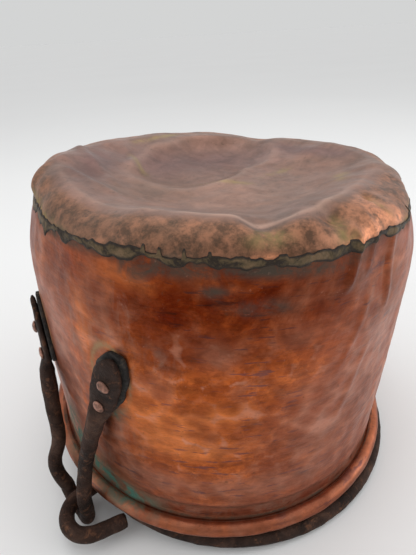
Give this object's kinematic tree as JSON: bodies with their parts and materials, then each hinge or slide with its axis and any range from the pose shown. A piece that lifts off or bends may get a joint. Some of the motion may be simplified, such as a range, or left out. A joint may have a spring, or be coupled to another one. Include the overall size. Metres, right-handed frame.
{
  "type": "cauldron",
  "caption": "Hammered copper cauldron standing upside down, with a brazed-on dished base, rolled lip, riveted wrought-iron ears and a swinging iron bail.",
  "frame": {"origin": "on the vessel's axis, in the plane of the undersides of the two ear loops, which are what it stands on with the front of the bail", "axes": "+Z along the vessel's axis towards its base, because it stands upside down with the mouth below; X runs through the two ears, with left at -X; the bail is folded under the rim towards -Y"},
  "size_m": [0.3324, 0.2842, 0.2355],
  "materials": {
    "wall_copper": "hammered copper, worn and scratched, with dark patina and some verdigris",
    "base_copper": "dull pinkish-brown copper with dents and stains",
    "braze": "dark olive-brown braze",
    "iron": "forged, dark brown with light rust",
    "plate_iron": "rough dark grey scale",
    "rivet_copper": "tarnished copper, worn bright on the heads"
  },
  "bodies": {
    "vessel": {"side_wall": "wall_copper", "base_pan": "base_copper", "base_seam_braze": "braze", "side_seam_braze": "braze", "rim_wire": "iron", "left_ear": "iron", "right_ear": "iron", "left_front_backing_plate": "plate_iron", "left_rear_backing_plate": "plate_iron", "right_front_backing_plate": "plate_iron", "right_rear_backing_plate": "plate_iron", "left_front_upper_rivet": "rivet_copper", "left_front_lower_rivet": "rivet_copper", "left_rear_upper_rivet": "rivet_copper", "left_rear_lower_rivet": "rivet_copper", "right_front_upper_rivet": "rivet_copper", "right_front_lower_rivet": "rivet_copper", "right_rear_upper_rivet": "rivet_copper", "right_rear_lower_rivet": "rivet_copper"},
    "bail": {"bail": "iron"}
  },
  "joints": [
    {"name": "bail_swing", "type": "hinge", "parent": "vessel", "child": "bail", "pos_m": [0, -0.013, 0.01625], "axis": [1, 0, 0], "range_deg": [0, 180]}
  ]
}
